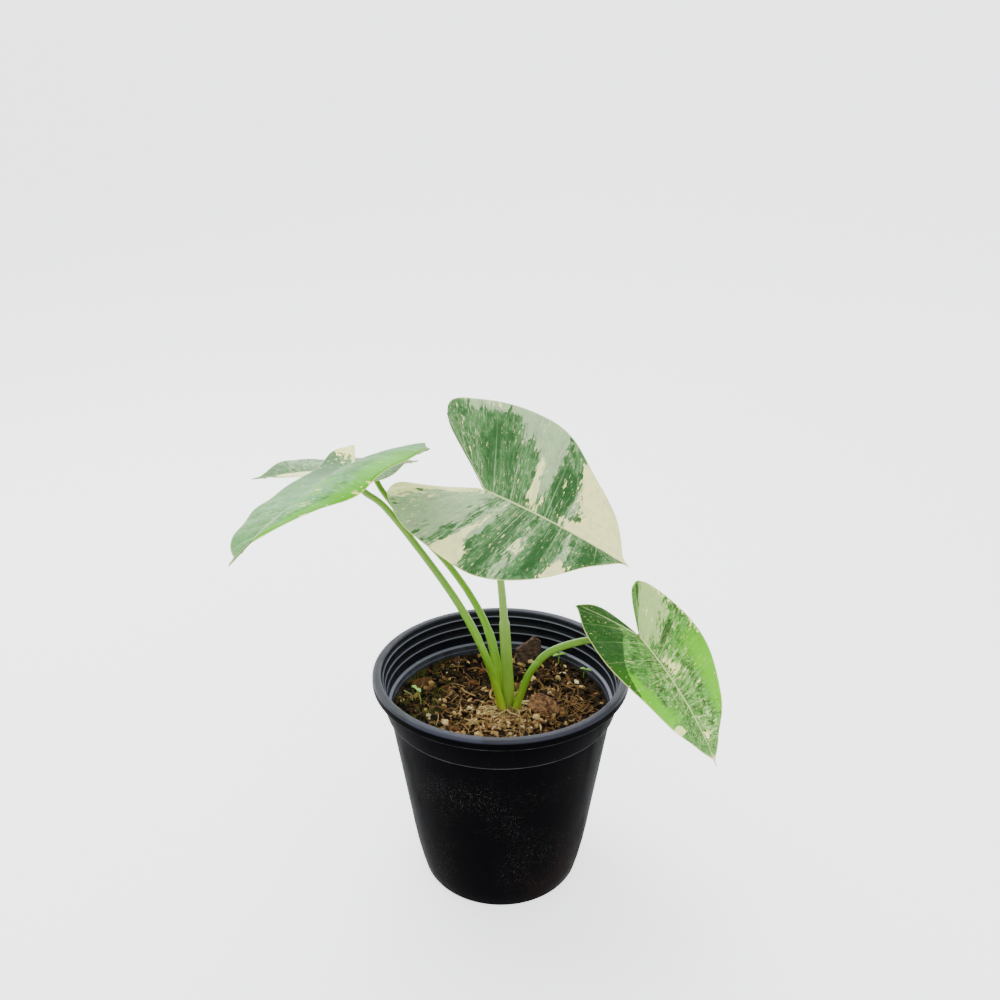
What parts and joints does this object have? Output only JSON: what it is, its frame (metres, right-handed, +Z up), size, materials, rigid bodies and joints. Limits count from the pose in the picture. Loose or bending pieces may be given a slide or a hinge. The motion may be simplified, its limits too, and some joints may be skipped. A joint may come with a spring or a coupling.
{
  "type": "potted variegated giant taro",
  "caption": "Young giant taro with arrow-shaped cream-marbled leaves on slender stalks, rooted in bark mix in a round tapered nursery pot.",
  "frame": {"origin": "on the pot's axis at the flat centre of its underside, in the plane the pot stands on", "axes": "+Z up along the pot's axis; -Y towards the side the plant is looked at from; +X to that viewer's right, where the small hanging leaf is"},
  "size_m": [0.2805, 0.2184, 0.2912],
  "materials": {
    "pot_plastic": "black injection moulded, slightly dusty",
    "potting_mix": "damp coconut husk and bark",
    "rust_bark": "rough",
    "dark_bark": "rough",
    "pale_husk": "fibrous",
    "crown": "papery, dry at the edges",
    "leaf_stalk": "smooth, softly glossy",
    "leaf_centre": "satin, marbled in green, grey-green and cream",
    "leaf_left_front": "satin, marbled in green, grey-green and cream",
    "leaf_left_back": "satin, marbled in green, grey-green and cream",
    "leaf_right": "satin, marbled in green, grey-green and cream",
    "seedling": "soft"
  },
  "bodies": {
    "root": {"pot": "pot_plastic", "potting_mix": "potting_mix", "bark_chip_right": "rust_bark", "bark_slab_back": "dark_bark", "bark_chip_left": "rust_bark", "bark_chip_back_left": "rust_bark", "husk_block_front": "pale_husk", "seedling_left": "seedling", "seedling_back": "seedling", "seedling_back_right": "seedling", "shoot_left": "seedling", "crown": "crown", "leaf_stalk_centre": "leaf_stalk", "leaf_stalk_left_front": "leaf_stalk", "leaf_stalk_left_back": "leaf_stalk", "leaf_stalk_right": "leaf_stalk", "leaf_centre": "leaf_centre", "leaf_left_front": "leaf_left_front", "leaf_left_back": "leaf_left_back", "leaf_right": "leaf_right"}
  },
  "joints": []
}
